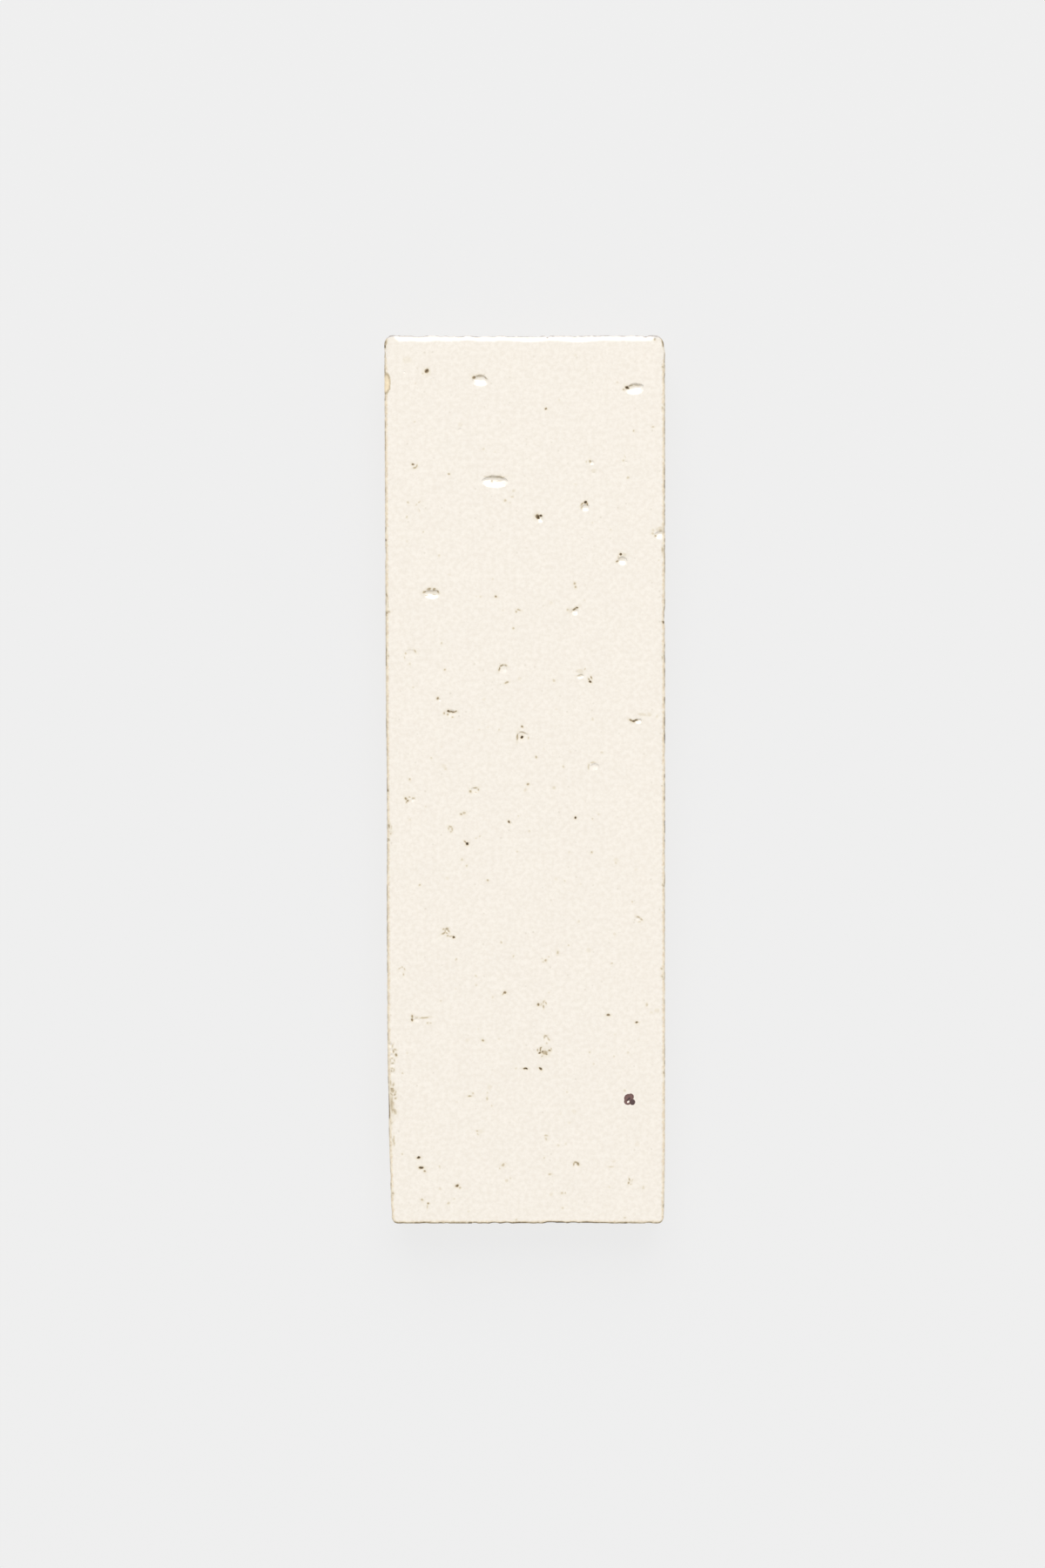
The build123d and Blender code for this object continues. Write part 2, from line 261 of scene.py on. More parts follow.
    (450.2, 1268, 3.4, 22, 0, 36), (452.8, 1276, 5, 10, 15, 24), (450, 1256.2, 3.6, 1.7, -20, 44),
    (454.2, 1254, 5.5, 1.7, 45, 26), (451.8, 1275.2, 7.5, 1.8, -53, 40), (452.6, 1272, 1.5, 20, 0, 14),
    # The last four are faint tints over the shaded upper walls of the largest pits: painted shade.
    (551, 431, 18, 5, 0, 12), (728, 442, 22, 5, 6, 12), (568.5, 546.8, 31, 5, -1, 13),
    (495.5, 677.8, 21, 7, 0, 12),
)]

# At full tone a spot is this deep, as a share of its smaller size. A fainter one is shallower by the square
# of its tone, and one below this tone in per cent gets a coarser mesh.
spot_depth = 0.35
faint_tone = 30

# Each spot has a faint halo: at most this dark, at most this share of the spot's tone, and this far out, in
# the spot's own half sizes
halo_tone = 0.12
halo_share = 0.35
halo_reach = 4.0

# A haze is a faint round spot: its px, py, size and tone
hazes = (
    (476, 484, 3, 16), (529, 487, 7, 10), (555, 515, 3.4, 16), (568, 519, 3, 12), (477, 440, 3, 13),
    (661, 408, 4, 11), (642, 459, 3.4, 12), (674, 424, 3, 10), (709, 439, 2.6, 20), (721, 549, 2.8, 22),
    (504, 638, 4, 15), (467, 621, 4, 12), (486, 611, 2.6, 17), (566, 665, 4, 12), (552, 685, 3.4, 15),
    (547, 685, 3, 12), (578, 701, 3, 14), (516, 660, 4, 10), (661, 556, 4, 11), (701, 608, 3, 16),
    (680, 600, 3, 13), (671, 689, 3, 11), (633, 692, 5, 11), (750, 609, 5, 14), (755, 608, 5, 14),
    (596, 779, 6, 12), (495, 870, 2.8, 17), (512, 883, 4, 15), (556, 803, 5, 10), (551, 838, 3, 13),
    (573, 838, 3, 15), (474, 789, 3.4, 15), (507, 857, 3, 11), (636, 781, 4, 20), (681, 826, 4, 14),
    (639, 814, 3, 12), (746, 820, 6, 13), (755, 822, 5, 12), (647, 880, 3, 20), (656, 863, 3, 12),
    (624, 860, 3, 12), (691, 864, 4, 15), (471, 941, 4, 12), (489, 926, 3, 13), (531, 987, 3.2, 21),
    (536, 994, 2.8, 22), (594, 977, 3.2, 16), (514, 1008, 5, 11), (636, 904, 5, 15), (680, 940, 3, 16),
    (687, 935, 3, 15), (608, 954, 3, 15), (623, 951, 3, 11), (654, 978, 4, 12), (707, 991, 3.4, 16),
    (731, 998, 4, 10), (649, 1011, 2.8, 18), (667, 1015, 3.4, 12), (638, 1009, 5, 10),
    (726, 1035, 2.8, 22), (665, 1058, 4, 14), (575, 1081, 2.6, 22), (590, 1097, 2.8, 20),
    (524, 1102, 3, 20), (546, 1120, 3, 17), (547, 1131, 3, 17), (523, 1135, 3, 11),
    (506, 1149, 3.2, 16), (566, 1145, 4, 14), (537, 1194, 7, 10), (573, 1193, 3.4, 13),
    (549, 1181, 3, 11), (468, 1209, 3.4, 13), (593, 1227, 3, 15), (653, 1085, 2.8, 20),
    (703, 1106, 3, 20), (706, 1072, 4, 13), (755, 1160, 7, 12), (748, 1162, 5, 11), (706, 1188, 4, 10),
    (733, 1194, 4, 10), (677, 1208, 2.8, 20), (721, 1208, 3.2, 15), (705, 1213, 3.2, 16),
    (682, 1221, 3.4, 14), (462, 1232, 2.8, 20), (562, 1248, 6, 11), (525, 1265, 3, 12),
    (552, 1299, 7, 10), (462, 1325, 2.8, 20), (505, 1339, 3, 17), (586, 1353, 3, 16),
    (505, 1365, 4, 13), (593, 1400, 3, 20), (538, 1391, 4, 12), (651, 1254, 3.2, 17),
    (717, 1252, 3.6, 16), (654, 1289, 4, 12), (644, 1279, 4, 10), (641, 1315, 4, 14),
    (650, 1313, 3.4, 14), (732, 1314, 7, 9), (625, 1329, 2.8, 18), (717, 1398, 3, 22),
    (700, 1363, 4, 12), (470, 762, 5, 10), (560, 835, 4, 10), (470, 745, 8, 8), (714, 639, 10, 11),
    (717, 637, 6, 14), (672, 577, 10, 11), (668, 581, 6, 14), (759, 607, 8, 15), (616, 592, 9, 12),
    (656, 701, 8, 13),
)
spots += [Spot(px, py, size, size, 0, tone) for px, py, size, tone in hazes]

# A chip is a place on the edge where the glaze has broken off and the clay shows. depth is in millimetres,
# tone is how dirty the clay is, and rim is how brown the glaze is where it breaks off, both in per cent.
Chip = namedtuple("Chip", "px py length width turn depth tone rim")

chips = [Chip(443.2, 440.4, 23, 9.6, 88, 0.14, 2, 46)]

# A run is a stretch of an edge where the glaze has drawn thin and a brown line shows. at is its middle
# along the edge in the photograph, length is in its pixels, and tone is how dark it is, in per cent.
Run = namedtuple("Run", "at length tone")

left_runs = [Run(*row) for row in (
    (394, 9, 56), (407, 8, 44), (425, 6, 50), (449, 5, 46), (457, 6, 48), (487, 7, 48), (501, 14, 46),
    (513, 9, 44), (607, 6, 44), (631, 8, 44), (704, 6, 52), (749, 14, 54), (759, 12, 58), (831, 14, 52),
    (842, 9, 48), (859, 6, 48), (900, 16, 46), (949, 5, 52), (964, 5, 54), (972, 8, 50), (1022, 14, 45),
    (1050, 16, 44), (1066, 16, 44), (1080, 12, 44), (1113, 9, 42), (1190, 10, 44), (1240, 9, 44),
    (1264, 18, 66), (1275, 20, 70), (1300, 12, 40), (1360, 5, 38),
)]

right_runs = [Run(*row) for row in (
    (393, 10, 68), (412, 10, 52), (431, 7, 58), (490, 18, 48), (541, 10, 52), (553, 4, 64),
    (558, 5, 72), (588, 8, 58), (598, 10, 44), (608, 6, 58), (620, 5, 52), (628, 6, 52), (637, 16, 46),
    (646, 4, 68), (654, 7, 52), (690, 8, 50), (698, 6, 66), (706, 5, 54), (741, 4, 50), (750, 4, 48),
    (756, 10, 64), (770, 6, 60), (786, 5, 48), (802, 5, 64), (806, 4, 58), (828, 12, 62), (840, 6, 52),
    (848, 12, 90), (891, 5, 58), (901, 4, 54), (907, 10, 44), (917, 5, 58), (945, 6, 86), (950, 5, 64),
    (954, 5, 66), (965, 4, 74), (1010, 14, 46), (1016, 5, 52), (1117, 4, 44), (1209, 12, 40),
    (1220, 5, 42), (1384, 4, 50),
)]

# Along the foot the runs are partly glaze drawn thin and partly a painted shadow under the edge.
foot_line_and_shadow_runs = [Run(*row) for row in (
    (457, 14, 62), (469, 12, 50), (482, 14, 70), (496, 14, 56), (505.5, 5, 78), (522, 30, 56),
    (539.5, 5, 80), (551, 18, 62), (564, 10, 82), (570.5, 8, 58), (577, 9, 80), (594, 26, 74),
    (613, 14, 56), (636, 28, 92), (658, 18, 82), (678, 26, 76), (695, 12, 70), (702.5, 5, 82),
    (711, 12, 52), (718, 5, 72), (728, 16, 46), (746, 6, 56),
)]

# A nick is a hollow in the outline. width is its length along the edge, in pixels, and depth is in
# millimetres.
Nick = namedtuple("Nick", "px py width depth")

nicks = [Nick(*row) for row in (
    (480.5, 384.3, 14, 0.22), (507, 384.3, 7, 0.16), (517.5, 384.3, 7, 0.22), (527.5, 384.3, 12, 0.22),
    (552, 384.3, 20, 0.24), (566, 384.3, 9, 0.2), (587, 384.3, 16, 0.2), (602, 384.3, 16, 0.18),
    (615, 384.3, 14, 0.2), (628.6, 384.3, 5, 0.3), (660, 384.3, 8, 0.14), (741.5, 384.3, 5, 0.2),
    (763.9, 391, 20, 0.28), (763.9, 708, 20, 0.18), (443.5, 925, 160, 0.13), (447, 1266, 44, 0.1),
    (480.5, 1405.1, 10, 0.08), (506, 1405.1, 5, 0.08), (539.5, 1405.1, 6, 0.14), (563, 1405.1, 9, 0.18),
    (577.5, 1405.1, 9, 0.16), (597, 1405.1, 18, 0.08), (630, 1405.1, 15, 0.28), (642, 1405.1, 14, 0.18),
    (656.5, 1405.1, 12, 0.22), (672, 1405.1, 22, 0.15), (691, 1405.1, 18, 0.09), (746, 1405.1, 8, 0.14),
)]

# The iron spot: beads of melted iron in the glaze, each laid over the ones before it. height is in
# millimetres, tone is how dark it is, in per cent, and a lobe with neither is a gap where the glaze shows.
# The spot's outer rim is darker by iron_rim.
iron_rim = 0.4
Lobe = namedtuple("Lobe", "px py length width turn height tone")

iron_lobes = [Lobe(*row) for row in (
    (721, 1264.6, 8.2, 7.2, 0, 0.04, 44), (721.8, 1261, 9.6, 9.6, 0, 0.05, 50),
    (724.4, 1259.2, 6.4, 7, 0, 0.05, 54), (726.3, 1265.2, 5.8, 6.6, 0, 0.1, 86),
    (721.2, 1262.3, 4.4, 1.6, 35, 0, 95), (722.7, 1261, 2.6, 2, 20, 0, 100),
    # The last lobe is a pale gap where the glaze shows, standing in for a highlight on the iron: a painted
    # highlight.
    (721.5, 1264.9, 3.6, 2.4, 35, 0, 0),
)]

# Finishes: colours as they look in plain white light (sRGB), and how rough and how mirroring they are. Some
# carry painted shade or light, as noted at each.
glaze_colours = ((253, 246, 235), (251, 244, 233))
grain_colour = (239, 230, 216)
speck_colour = (205, 194, 172)
# These colours serve real stains and also painted shade: the foot's shadow line and the tints in the
# largest pits.
stain_and_shade_colours = ((246, 237, 218), (207, 192, 164), (141, 122, 93), (58, 47, 35))
# The top end's stain colours are greyer: the line there is partly painted shade.
top_stain_and_shade_colours = ((240, 236, 232), (194, 187, 182), (130, 121, 115), (58, 50, 44))
edge_colours = ((249, 237, 214), (239, 222, 194), (224, 206, 177))
side_clay_colours = ((221, 200, 166), (233, 216, 187))
# The chip's clay is partly its own pale colour and partly lightened to make up for the shade on the rolled
# edge: painted light.
chip_clay_and_painted_light_colours = ((248, 226, 188), (255, 241, 212))
clay_dirt_colour = (160, 136, 98)
iron_colours = ((176, 140, 130), (120, 84, 78), (52, 28, 30))
floor_colour = (239, 239, 239)
glaze_roughness = (0.09, 0.15)
clay_roughness = 0.85
glaze_ior = 1.65

# The room: how much light it gives, how bright it shows, and how much of the floor shows as its plain
# colour
room_light = 0.56
room_shown = 1.0
floor_plain_share = 0.9


def srgb(colour):
    """The linear colour, with alpha, of an sRGB triple from 0 to 255."""
    shares = [c / 255 for c in colour]
    return (*[s / 12.92 if s <= 0.04045 else ((s + 0.055) / 1.055) ** 2.4 for s in shares], 1.0)


def on_face(px, py):
    """Where a pixel of the photograph lies on the face, in millimetres from the face's middle."""
    return (px - face_middle_px[0]) / px_per_mm, (face_middle_px[1] - py) / px_per_mm


def smooth(value, start, end):
    """Rises smoothly from 0 at start to 1 at end."""
    share = np.clip((value - start) / (end - start), 0, 1)
    return share * share * (3 - 2 * share)


def fade(value, start, end):
    """Falls smoothly from 1 at start to 0 at end."""
    return 1 - smooth(value, start, end)


def noise(x, y, period, seed):
    """Smooth noise from -1 to 1 whose bumps are about one period apart."""
    size = 256
    table = np.random.default_rng(seed).uniform(-1, 1, (size, size))
    column = np.floor(x / period).astype(int)
    row = np.floor(y / period).astype(int)
    right = smooth(x / period - column, 0, 1)
    up = smooth(y / period - row, 0, 1)
    columns = (column % size, (column + 1) % size)
    rows = (row % size, (row + 1) % size)
    lower = table[columns[0], rows[0]] * (1 - right) + table[columns[1], rows[0]] * right
    upper = table[columns[0], rows[1]] * (1 - right) + table[columns[1], rows[1]] * right
    return lower * (1 - up) + upper * up


def mark_axes(mark, x, y):
    """A point's place in a mark's own axes, in which the mark's rim is the unit circle."""
    mark_x, mark_y = on_face(mark.px, mark.py)
    turn = math.radians(mark.turn)
    along = (x - mark_x) * math.cos(turn) + (y - mark_y) * math.sin(turn)
    across = (y - mark_y) * math.cos(turn) - (x - mark_x) * math.sin(turn)
    return along * 2 * px_per_mm / mark.length, across * 2 * px_per_mm / mark.width


def edge_distance(x, y):
    """Distance in from the plain outline, a rectangle with round corners, and the direction in from it."""
    radius = np.where(y < 0, foot_corner_radius, corner_radius)
    corner_x = np.abs(x) - (half_width - radius)
    corner_y = np.abs(y) - (half_length - radius)
    past_x = np.maximum(corner_x, 0)
    past_y = np.maximum(corner_y, 0)
    outside = np.hypot(past_x, past_y)
    inside = np.minimum(np.maximum(corner_x, corner_y), 0)
    rounded = outside > 0
    out_x = np.where(rounded, past_x / np.maximum(outside, 1e-9), corner_x > corner_y)
    out_y = np.where(rounded, past_y / np.maximum(outside, 1e-9), corner_x <= corner_y)
    return radius - outside - inside, -np.sign(x) * out_x, -np.sign(y) * out_y


def waves(x, y, layers):
    """The sum of several noises."""
    return sum(wave.height * noise(x, y, wave.period, wave.seed) for wave in layers)


def edge_waver(x, y):
    """How far in the real outline lies from the plain one: a waver of noise and the nicks."""
    waver = np.maximum(waves(x, y, outline_waves), 0)
    for nick in nicks:
        nick_x, nick_y = on_face(nick.px, nick.py)
        gap = np.hypot(x - nick_x, y - nick_y) * 2 * px_per_mm / nick.width
        waver = np.maximum(waver, nick.depth * np.exp(-(gap**4)))
    return waver


def real_place(x, y):
    """Moves points of the plain rectangle to the real tile, which wavers and narrows to its foot."""
    distance, in_x, in_y = edge_distance(x, y)
    waver_reach = 2.0
    shift = edge_waver(x, y) * np.clip(1 - distance / waver_reach, 0, 1) ** 2
    above_foot = y + half_length
    left = left_drift * (1 - above_foot / (2 * half_length))
    left = left + left_draw * np.clip(1 - above_foot / left_draw_length, 0, 1) ** 2
    right = right_draw * np.clip(1 - above_foot / right_draw_length, 0, 1) ** 2
    share = (x + half_width) / (2 * half_width)
    return x + in_x * shift + left * (1 - share) - right * share, y + in_y * shift


def round_fall(distance, reach, end_slope):
    """Fall of a round edge: an arc that is level at reach in from the edge and ends at end_slope."""
    radius = reach / math.sin(end_slope)
    into = np.clip(reach - distance, 0, reach)
    return radius - np.sqrt(radius**2 - into**2)


def end_shares(in_y):
    """How much an edge belongs to the top end and to the foot, from its direction in."""
    return smooth(-in_y, 0.3, 0.95), smooth(in_y, 0.3, 0.95)


def edge_line_and_shade(x, y, distance, in_y):
    """How dark the line along the outline is: glaze drawn thin over the edge, and at the top end and the
    foot also painted shade and shadow.
    """
    at_top, at_foot = end_shares(in_y)
    at_sides = 1 - at_top - at_foot
    side_tone = side_line_tone + side_line_rise * y / half_length
    tone = side_tone * at_sides + top_line_and_shade_tone * at_top + foot_line_and_shadow_tone * at_foot
    tone = tone + waves(x, y, line_tone_waves)
    for runs, along, axis, here in (
        (left_runs, y, 1, at_sides * (x < 0)),
        (right_runs, y, 1, at_sides * (x > 0)),
        (foot_line_and_shadow_runs, x, 0, at_foot),
    ):
        for run in runs:
            middle = on_face(run.at, run.at)[axis]
            beyond = np.abs(along - middle) * 2 * px_per_mm / run.length
            tone = np.maximum(tone, run.tone / 100 * here * fade(beyond, 0.7, 1.2))
    width = side_line_width * at_sides + top_line_and_shade_width * at_top + foot_line_and_shadow_width * at_foot
    width = width + waves(x, y, line_width_waves)
    return tone.clip(0, 1) * fade(distance, 0.45 * width, 1.15 * width)


def pit_depth(pit, x, y):
    """How deep a pit is at each point: an even slope up to its floor, the floor, and a steep wall."""
    u, v = mark_axes(pit, x, y)
    reach = np.sqrt(np.clip(1 - u**2, 1e-6, 1))
    up = v / reach
    wall_start = 0.95
    slope = np.clip((up + 1) / (pit.floor + 1), 0, 1)
    wall = np.clip((1 - up) / (1 - wall_start), 0, 1)
    return pit.depth * np.clip(1 - u**4, 0, 1) * np.minimum(slope, wall)


def face_surface(x, y, plain_y, distance, in_y):
    """Height of the face at real places on it, with the masks for how stained or painted with shade, bare
    and iron-dark it is.
    """
    at_top, at_foot = end_shares(in_y)
    height = thickness - face_sink + waves(x, y, face_waves)
    roll = glaze_roll + (top_lip - glaze_roll) * at_top + (foot_roll - glaze_roll) * at_foot
    height = height - round_fall(distance, roll, math.radians(90))
    top_distance = half_length - plain_y + waves(x, y, top_roll_waves)
    clear_of_corner = smooth(half_width - np.abs(x), *top_roll_ends)
    height = height - clear_of_corner * round_fall(np.maximum(top_distance, 0), top_roll, top_roll_slope)
    stain = edge_line_and_shade(x, y, distance, in_y)
    clay = np.zeros_like(x)
    iron = np.zeros_like(x)
    bead = np.zeros_like(x)
    ragged_x = x + waves(x, y, mark_waves)
    ragged_y = y + waves(y, x, mark_waves)
    for pit in pits:
        height = height - pit_depth(pit, ragged_x, ragged_y)
    for spot in spots:
        tone = spot.tone / 100
        out = np.hypot(*mark_axes(spot, ragged_x, ragged_y))
        depth = spot_depth * tone**2 * min(spot.length, spot.width) / px_per_mm
        height = height - depth * fade(out, 0.0, 1.2)
        stain = np.maximum(stain, tone * fade(out, 0.5, 1.3))
        stain = np.maximum(stain, min(halo_tone, halo_share * tone) * fade(out, 0.8, halo_reach))
    for chip in chips:
        out = np.hypot(*mark_axes(chip, ragged_x, ragged_y))
        bare = fade(out, 0.85, 1.05)
        height = height - chip.depth * fade(out, 0.6, 1.1)
        clay = np.maximum(clay, bare)
        stain = np.maximum(stain * (1 - 0.8 * bare), chip.tone / 100 * bare)
        stain = np.maximum(stain, chip.rim / 100 * smooth(out, 0.75, 0.95) * fade(out, 1.0, 1.25))
    for lobe in iron_lobes:
        out = np.hypot(*mark_axes(lobe, x, y))
        bead = np.maximum(bead, lobe.height * np.sqrt(np.clip(1 - out**2, 0, 1)))
        cover = fade(out, 0.9, 1.1)
        outermost = 1 - 0.75 * smooth(iron, 0.2, 0.4)
        dark_rim = iron_rim * smooth(out, 0.65, 0.95) * (lobe.height > 0) * outermost
        iron = iron * (1 - cover) + (lobe.tone / 100 + dark_rim).clip(0, 1) * cover
    return height + bead, {"stain": stain, "clay": clay, "iron": iron}


def plain_outline():
    """An even number of points round the plain outline, anticlockwise from the right edge's upper end."""
    corners = ((1, 1, 0), (-1, 1, 90), (-1, -1, 180), (1, -1, 270))
    points = []
    for side_x, side_y, start in corners:
        radius = corner_radius if side_y > 0 else foot_corner_radius
        middle_x = side_x * (half_width - radius)
        middle_y = side_y * (half_length - radius)
        arc_steps = 2 * round(math.pi / 4 * radius / outline_spacing)
        for step in range(arc_steps + 1):
            angle = math.radians(start + 90 * step / arc_steps)
            points.append((middle_x + radius * math.cos(angle), middle_y + radius * math.sin(angle)))
        across = start in (0, 180)
        run = 2 * (half_width - radius) if across else 2 * half_length - corner_radius - foot_corner_radius
        run_steps = 2 * round(run / 2 / outline_spacing)
        last_x, last_y = points[-1]
        heading = math.radians(start + 180)
        for step in range(1, run_steps):
            travelled = run * step / run_steps
            points.append((last_x + travelled * math.cos(heading), last_y + travelled * math.sin(heading)))
    return np.array(points)


def inset(outline, amount):
    """The plain outline's points, moved in by one amount, or by one for each point."""
    _, in_x, in_y = edge_distance(outline[:, 0], outline[:, 1])
    return outline + np.column_stack([in_x * amount, in_y * amount])


def lattice(spacing, levels, wanted):
    """Places on the face, as close together as wanted(x, y) asks.

    spacing is the finest, and each level doubles it.
    """
    row_step = spacing * math.sqrt(3) / 2
    row_count = int(half_length / row_step)
    column_count = int(half_width / spacing)
    rows = np.arange(-row_count, row_count + 1)
    columns = np.arange(-column_count, column_count + 1)
    row, column = np.meshgrid(rows, columns, indexing="ij")
    slanted = column - row // 2
    x = spacing * (column + 0.5 * (row % 2))
    y = row_step * row
    own_spacing = np.full(x.shape, spacing)
    for level in range(1, levels + 1):
        own_spacing[(slanted % 2**level == 0) & (row % 2**level == 0)] = spacing * 2**level
    kept = own_spacing >= wanted(x, y) - 1e-9
    return np.column_stack([x[kept], y[kept]])


def face_spacing(x, y):
    """Wanted spacing of the face's mesh: fine at marks and coarser with the distance from them."""
    distance, _, _ = edge_distance(x, y)
    near_edge = 2.6
    wanted = np.where(distance < near_edge, fine_spacing * 4, fine_spacing * 2**coarser_levels)
    wanted[half_length - y < near_edge] = fine_spacing * 2
    real_x, real_y = real_place(x, y)
    mark_margin = 1.4
    largest_shift = 2.0
    clear_steps = (0.12, 0.4, 1.0)
    for mark in pits + spots + chips + iron_lobes:
        mark_x, mark_y = on_face(mark.px, mark.py)
        reach = max(mark.length, mark.width) / 2 / px_per_mm + mark_margin
        rows = np.abs(y[:, 0] - mark_y) < reach
        columns = np.abs(x[0] - mark_x) < reach + largest_shift
        near = np.ix_(rows, columns)
        out = np.hypot(*mark_axes(mark, real_x[near], real_y[near]))
        clear = (out - 1) * min(mark.length, mark.width) / 2 / px_per_mm
        faint = isinstance(mark, Spot) and mark.tone < faint_tone
        coarser = (2, 4, 4) if faint else (1, 2, 4)
        asked = np.select([clear < step for step in clear_steps], coarser, 8) * fine_spacing
        wanted[near] = np.minimum(wanted[near], asked)
    return wanted


def back_wanted(x, y):
    """Wanted spacing of the back's mesh: coarser with the distance from its edge."""
    distance, _, _ = edge_distance(x, y)
    return back_spacing * 2 ** np.clip(np.floor(np.log2(np.maximum(distance, 1) / 1.2)), 0, back_levels)


def fill(loop, inner):
    """Triangles between a closed loop of points and the points in it, as indices into loop, then inner."""
    points = [Vector(point) for point in np.concatenate([loop, inner])]
    rim = [(k, (k + 1) % len(loop)) for k in range(len(loop))]
    inside_constraints = 1
    result = delaunay_2d_cdt(points, rim, [], inside_constraints, 1e-7)
    origin = [found[0] for found in result[3]]
    return [tuple(origin[k] for k in face) for face in result[2]]


def strip(outer, inner, count):
    """Quads between two rings of count vertices that start at the indices outer and inner."""
    following = [(k + 1) % count for k in range(count)]
    return [(outer + k, outer + n, inner + n, inner + k) for k, n in enumerate(following)]


def halving_strip(outer, inner, count):
    """Triangles between an inner ring of count vertices and an outer ring of half as many."""
    faces = []
    for k in range(count // 2):
        here = outer + k
        there = outer + (k + 1) % (count // 2)
        first = inner + 2 * k
        second = first + 1
        third = inner + (2 * k + 2) % count
        faces += [(here, second, first), (here, there, second), (there, third, second)]
    return faces


class Surface:
    """Collects vertices, with the masks that the material reads, and the faces between them."""

    mask_names = ("stain", "clay", "iron", "edge", "below_glaze")

    def __init__(self):
        self.places = []
        self.masks = {name: [] for name in self.mask_names}
        self.faces = []
        self.count = 0

    def add(self, x, y, z, **masks):
        """Adds vertices and returns the index of the first. A mask that isn't given is 0 there."""
        start = self.count
        self.places.append(np.column_stack([x, y, z]))
        for name, values in self.masks.items():
            values.append(np.broadcast_to(masks.get(name, 0.0), x.shape))
        self.count += len(x)
        return start

    def mesh(self, name):
        """The mesh in metres, with smooth faces."""
        mesh = bpy.data.meshes.new(name)
        mesh.from_pydata((np.concatenate(self.places) * mm).tolist(), [], self.faces)
        mesh.shade_smooth()
        for mask, values in self.masks.items():
            layer = mesh.attributes.new(mask, "FLOAT", "POINT")
            layer.data.foreach_set("value", np.concatenate(values).astype(np.float32))
        mesh.validate()
        return mesh


def add_face(surface, outline):
    """Adds the glazed face: rings down its rolled edge, round a mesh of triangles.

    Returns the height and the stain and painted shade of the outermost ring.
    """
    count = len(outline)
    roll_angles = (90, 76, 62, 48, 34, 20)
    level_insets = [0.85, 1.1]
    ring_gap = 0.16
    insets = [glaze_roll * (1 - math.sin(math.radians(angle))) for angle in roll_angles] + level_insets
    inner = lattice(fine_spacing, coarser_levels, face_spacing)
    inner = inner[edge_distance(inner[:, 0], inner[:, 1])[0] > insets[-1] + ring_gap]
    plain = np.concatenate([*[inset(outline, amount) for amount in insets], inner])
    distance, _, in_y = edge_distance(plain[:, 0], plain[:, 1])
    distance = distance.clip(0)
    x, y = real_place(plain[:, 0], plain[:, 1])
    height, masks = face_surface(x, y, plain[:, 1], distance, in_y)
    top_thickening = 4.0
    thickening_start = half_length - 6
    thickening_end = half_length - 1.5
    thicker_at_top = 1 + top_thickening * smooth(plain[:, 1], thickening_start, thickening_end)
    surface.add(x, y, height, edge=distance * thicker_at_top, below_glaze=-1.0, **masks)
    for ring in range(len(insets) - 1):
        surface.faces += strip(ring * count, (ring + 1) * count, count)
    loop_start = (len(insets) - 1) * count
    places = np.column_stack([x[loop_start:], y[loop_start:]])
    for face in fill(places[:count], places[count:]):
        surface.faces.append(tuple(loop_start + k for k in face))
    return height[:count], masks["stain"][:count]


def add_sides(surface, outline, rim_height, rim_stain_and_shade):
    """Adds the sides, from the face's rim down to the back's edge: a run-over of glaze, then bare clay.

    Returns the index of the last ring, which has half of the outline's points.
    """
    glazed_levels = (0.15, 0.4, 0.75, 1.15, 1.6, 2.2, 2.9)
    clay_levels = (3.7, 4.8, 6.2, 7.8, 9.4, 10.9)
    glaze_end = glaze_end_depth + waves(outline[:, 0], outline[:, 1], glaze_end_waves)
    glaze_end = glaze_end.clip(*glaze_end_limits)
    rough_height = sum(wave.height for wave in clay_waves)
    edge_growth = 0.7
    upper = 0
    for level in glazed_levels + clay_levels:
        every = 1 if level in glazed_levels else 2
        kept = outline[::every]
        below = level - glaze_end[::every]
        rough = rough_height + waves(kept[:, 0] + kept[:, 1], np.full(len(kept), level), clay_waves)
        ring = inset(kept, side_inset + smooth(below, -0.1, 0.15) * (glaze_lip + rough))
        x, y = real_place(ring[:, 0], ring[:, 1])
        rim = rim_height[::every]
        z = rim - level * (rim - back_edge) / clay_levels[-1]
        line = rim_stain_and_shade[::every] * fade(level, 0.0, 0.35)
        lower = surface.add(x, y, z, stain=line, edge=edge_growth * level, below_glaze=below)
        if level == clay_levels[0]:
            surface.faces += halving_strip(lower, upper, len(outline))
        else:
            surface.faces += strip(lower, upper, len(kept))
        upper = lower
    return upper


def add_back(surface, outline, upper):
    """Adds the back's softened edge and its flat, below the ring that starts at the index upper."""
    kept = outline[::2]
    count = len(kept)
    clay_inset = side_inset + glaze_lip + sum(wave.height for wave in clay_waves)
    ring_gap = 0.4
    for turn in (30, 60, 90):
        angle = math.radians(turn)
        ring = inset(kept, clay_inset + back_edge * (1 - math.cos(angle)))
        x, y = real_place(ring[:, 0], ring[:, 1])
        lower = surface.add(x, y, np.full(count, back_edge * (1 - math.sin(angle))), below_glaze=thickness)
        surface.faces += strip(lower, upper, count)
        upper = lower
    inner = lattice(back_spacing, back_levels, back_wanted)
    inner = inner[edge_distance(inner[:, 0], inner[:, 1])[0] > clay_inset + back_edge + ring_gap]
    inner_x, inner_y = real_place(inner[:, 0], inner[:, 1])
    surface.add(inner_x, inner_y, np.zeros(len(inner)), below_glaze=thickness)
    for face in fill(np.column_stack([x, y]), np.column_stack([inner_x, inner_y])):
        surface.faces.append(tuple(upper + k for k in reversed(face)))


